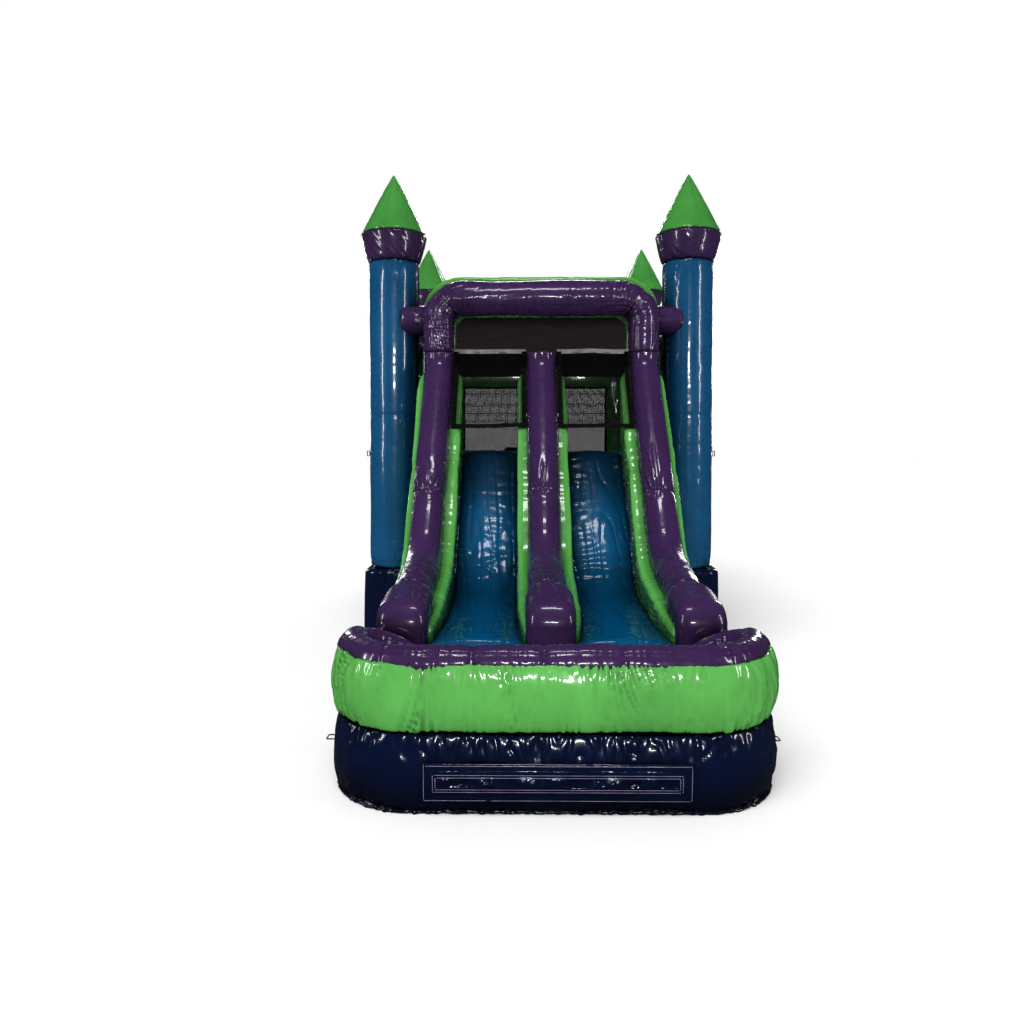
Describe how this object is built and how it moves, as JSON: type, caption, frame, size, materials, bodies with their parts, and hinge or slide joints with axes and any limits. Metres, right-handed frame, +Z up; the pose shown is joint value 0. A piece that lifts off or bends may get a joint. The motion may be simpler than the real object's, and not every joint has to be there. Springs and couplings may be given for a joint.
{
  "type": "inflatable bounce house",
  "caption": "Inflatable castle bounce house with four towers, a two-lane slide through an arch and a landing pool, with its blower.",
  "frame": {"origin": "on the ground under the middle of the square house base", "axes": "+Z up; +Y from the pool end through the slide and house to the entrance; +X to the right looking along +Y"},
  "size_m": [4.016, 8.4, 5.21],
  "materials": {
    "vinyl_blue": "gloss",
    "vinyl_purple": "gloss",
    "vinyl_green": "gloss",
    "vinyl_navy": "gloss",
    "vinyl_white": "satin",
    "netting_black": "matte",
    "mesh_roof_black": "satin",
    "webbing_black": "matte",
    "zip_tape_black": "matte",
    "ring_steel": "satin",
    "zip_metal": "satin",
    "blower_plastic": "satin",
    "impeller_plastic": "satin",
    "motor_steel": "satin",
    "grille_steel": "satin",
    "rubber_black": "matte",
    "switch_plastic": "satin",
    "switch_red": "gloss"
  },
  "bodies": {
    "bounce_house": {"anchor_straps": "webbing_black", "arch_backing": "vinyl_green", "arch_tube": "vinyl_purple", "banner_panel": "vinyl_navy", "blower_feet": "rubber_black", "blower_grille": "grille_steel", "blower_handle": "blower_plastic", "blower_housing": "blower_plastic", "blower_motor": "motor_steel", "bounce_floor": "vinyl_blue", "climbing_steps": "vinyl_green", "climbing_wall": "vinyl_blue", "deflation_zip": "zip_tape_black", "entrance_step": "vinyl_navy", "house_base": "vinyl_navy", "inflation_sleeve": "vinyl_navy", "inner_baffles": "vinyl_white", "lane_left": "vinyl_blue", "lane_net_left": "netting_black", "lane_net_right": "netting_black", "lane_right": "vinyl_blue", "pool_band": "vinyl_navy", "pool_floor": "vinyl_blue", "pool_rim": "vinyl_purple", "pool_wall": "vinyl_green", "rail_left": "vinyl_purple", "rail_middle": "vinyl_purple", "rail_right": "vinyl_purple", "roof_sheet": "mesh_roof_black", "slide_base": "vinyl_navy", "slide_divider": "vinyl_green", "slide_wall_left": "vinyl_green", "slide_wall_right": "vinyl_green", "switch_box": "switch_plastic", "top_beam_front": "vinyl_purple", "top_beam_left": "vinyl_purple", "top_beam_rear": "vinyl_purple", "top_beam_right": "vinyl_purple", "tower_collars": "vinyl_purple", "tower_cones": "vinyl_green", "tower_front_left": "vinyl_blue", "tower_front_right": "vinyl_blue", "tower_loops": "webbing_black", "tower_rear_left": "vinyl_blue", "tower_rear_right": "vinyl_blue", "wall_frame_left": "vinyl_green", "wall_frame_rear": "vinyl_green", "wall_frame_right": "vinyl_green", "wall_net_left": "netting_black", "wall_net_rear": "netting_black", "wall_net_right": "netting_black"},
    "entrance_door": {"entrance_door": "netting_black"},
    "zip_slider": {"zip_slider": "zip_metal"},
    "blower_impeller": {"blower_impeller": "impeller_plastic"},
    "switch_rocker": {"switch_rocker": "switch_red"},
    "ring_pool_left": {"anchor_ring_pool_left": "ring_steel"},
    "ring_pool_right": {"anchor_ring_pool_right": "ring_steel"},
    "ring_rear_left": {"anchor_ring_rear_left": "ring_steel"},
    "ring_rear_right": {"anchor_ring_rear_right": "ring_steel"}
  },
  "joints": [
    {"name": "ring_swing_pool_left", "type": "hinge", "parent": "bounce_house", "child": "ring_pool_left", "pos_m": [-1.516, -4.75, 0.23], "axis": [0, 1, 0], "range_deg": [-85, 85]},
    {"name": "ring_swing_pool_right", "type": "hinge", "parent": "bounce_house", "child": "ring_pool_right", "pos_m": [1.516, -4.75, 0.23], "axis": [0, -1, 0], "range_deg": [-85, 85]},
    {"name": "ring_swing_rear_left", "type": "hinge", "parent": "bounce_house", "child": "ring_rear_left", "pos_m": [-1.941, 1.3, 0.23], "axis": [0, 1, 0], "range_deg": [-85, 85]},
    {"name": "ring_swing_rear_right", "type": "hinge", "parent": "bounce_house", "child": "ring_rear_right", "pos_m": [1.941, 1.3, 0.23], "axis": [0, -1, 0], "range_deg": [-85, 85]},
    {"name": "door_swing", "type": "hinge", "parent": "bounce_house", "child": "entrance_door", "pos_m": [-0.447, 1.708, 0], "axis": [0, 0, 1], "range_deg": [0, 110]},
    {"name": "zip_slide", "type": "slide", "parent": "bounce_house", "child": "zip_slider", "axis": [1, 0, 0], "range_m": [0, 0.755]},
    {"name": "impeller_spin", "type": "hinge", "parent": "bounce_house", "child": "blower_impeller", "pos_m": [1.25, 2.76, 0.275], "axis": [1, 0, 0], "continuous": true},
    {"name": "switch_tip", "type": "hinge", "parent": "bounce_house", "child": "switch_rocker", "pos_m": [1.045, 2.76, 0.383], "axis": [0, 1, 0], "range_deg": [-9, 9]}
  ]
}
